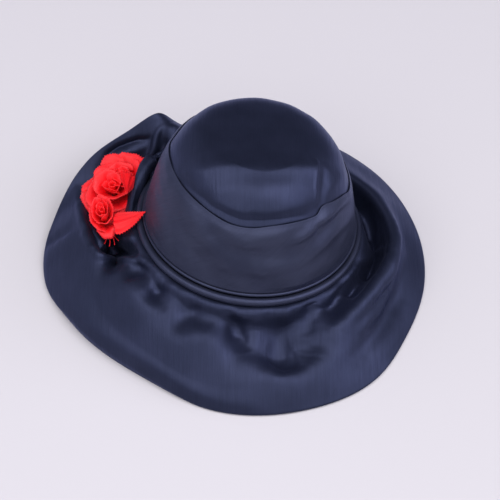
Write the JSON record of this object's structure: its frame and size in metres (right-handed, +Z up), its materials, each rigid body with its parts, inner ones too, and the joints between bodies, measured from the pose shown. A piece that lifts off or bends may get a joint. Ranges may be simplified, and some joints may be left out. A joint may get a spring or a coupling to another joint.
{
  "type": "satin picture hat with ribbon roses",
  "caption": "Soft wide-brimmed satin hat: domed crown, draped band over rolled welts, gathered brim turned up at one side around a corsage of ribbon roses and leaves.",
  "frame": {"origin": "middle of the hat's footprint, on the surface that it rests on", "axes": "+Z up, -Y towards the side of the brim that faced the viewer, +X towards the viewer's right; the turned-up peak is at the back left"},
  "size_m": [0.3356, 0.3332, 0.1451],
  "materials": {
    "navy_satin": "dark navy satin with a soft sheen across the thread",
    "red_ribbon": "bright red satin ribbon with pinked edges"
  },
  "bodies": {
    "root": {"crown": "navy_satin", "band": "navy_satin", "upper_welt": "navy_satin", "lower_welt": "navy_satin", "brim": "navy_satin", "large_rose": "red_ribbon", "small_rose": "red_ribbon", "rosebud": "red_ribbon", "front_leaf": "red_ribbon", "side_leaf": "red_ribbon", "back_leaf": "red_ribbon"}
  },
  "joints": []
}
